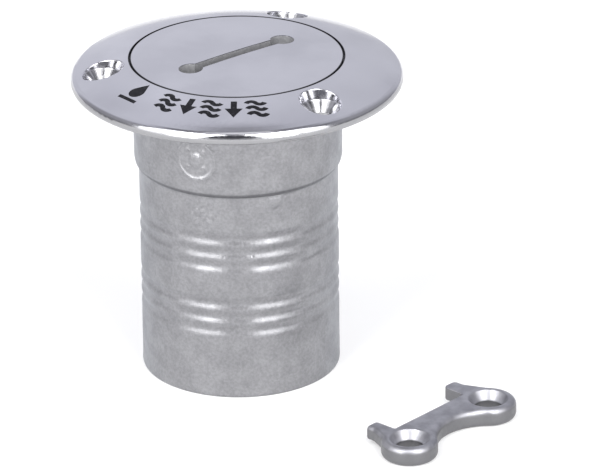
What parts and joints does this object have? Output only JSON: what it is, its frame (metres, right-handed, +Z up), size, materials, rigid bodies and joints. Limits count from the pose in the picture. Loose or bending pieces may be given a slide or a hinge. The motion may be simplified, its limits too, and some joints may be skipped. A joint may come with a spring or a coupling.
{
  "type": "deck fill cap",
  "caption": "Round stainless deck filler with a flush screw-in cap, grooved hose tail, bead chain with toggle bar, and a loose two-lug key.",
  "frame": {"origin": "on the filler's axis, in the plane of the flange's underside, at the centre of the screw circle", "axes": "+Z up along the filler's axis, out of the deck; -Y towards the marks on the flange"},
  "size_m": [0.1122, 0.1101, 0.0851],
  "materials": {
    "cast_steel": "polished flange, matte blasted cast neck",
    "polished_steel": "satin polish",
    "key_steel": "satin cast, tumbled edges",
    "chain_steel": "bright",
    "seal_rubber": "matte",
    "black_enamel": "semi-gloss enamel"
  },
  "bodies": {
    "filler": {"filler_body": "cast_steel", "mark_drop": "black_enamel", "mark_wave_1": "black_enamel", "mark_arrow_2": "black_enamel", "mark_wave_3": "black_enamel", "mark_arrow_4": "black_enamel", "mark_wave_5": "black_enamel"},
    "chain": {"swivel_strip": "chain_steel", "chain_bead_01": "chain_steel", "chain_bead_02": "chain_steel", "chain_bead_03": "chain_steel", "chain_bead_04": "chain_steel", "chain_bead_05": "chain_steel", "chain_bead_06": "chain_steel", "chain_bead_07": "chain_steel", "chain_bead_08": "chain_steel", "chain_bead_09": "chain_steel", "chain_bead_10": "chain_steel", "chain_link_01": "chain_steel", "chain_link_02": "chain_steel", "chain_link_03": "chain_steel", "chain_link_04": "chain_steel", "chain_link_05": "chain_steel", "chain_link_06": "chain_steel", "chain_link_07": "chain_steel", "chain_link_08": "chain_steel", "chain_link_09": "chain_steel", "toggle_stirrup": "chain_steel", "toggle_pin": "chain_steel"},
    "cap": {"screw_cap": "polished_steel", "cap_o_ring": "seal_rubber", "swivel_screw": "polished_steel"},
    "toggle": {"toggle_bar": "chain_steel"},
    "key": {"deck_key": "key_steel"}
  },
  "joints": [
    {"name": "cap_rise", "type": "slide", "parent": "filler", "child": "chain", "axis": [0, 0, 1], "range_m": [0, 0.01501]},
    {"name": "cap_turn", "type": "hinge", "parent": "chain", "child": "cap", "pos_m": [0, 0, 0], "axis": [0, 0, 1], "range_deg": [0, 2340]},
    {"name": "toggle_tilt", "type": "hinge", "parent": "chain", "child": "toggle", "pos_m": [0, 0, -0.05123], "axis": [0, 1, 0], "range_deg": [-65, 65]},
    {"name": "key_lift", "type": "slide", "parent": "filler", "child": "key", "axis": [0, 0, 1], "range_m": [0, 0.1]}
  ],
  "couplings": [
    {"joint": "cap_rise", "follows": "cap_turn", "m_per_rad": 0.00036749}
  ]
}
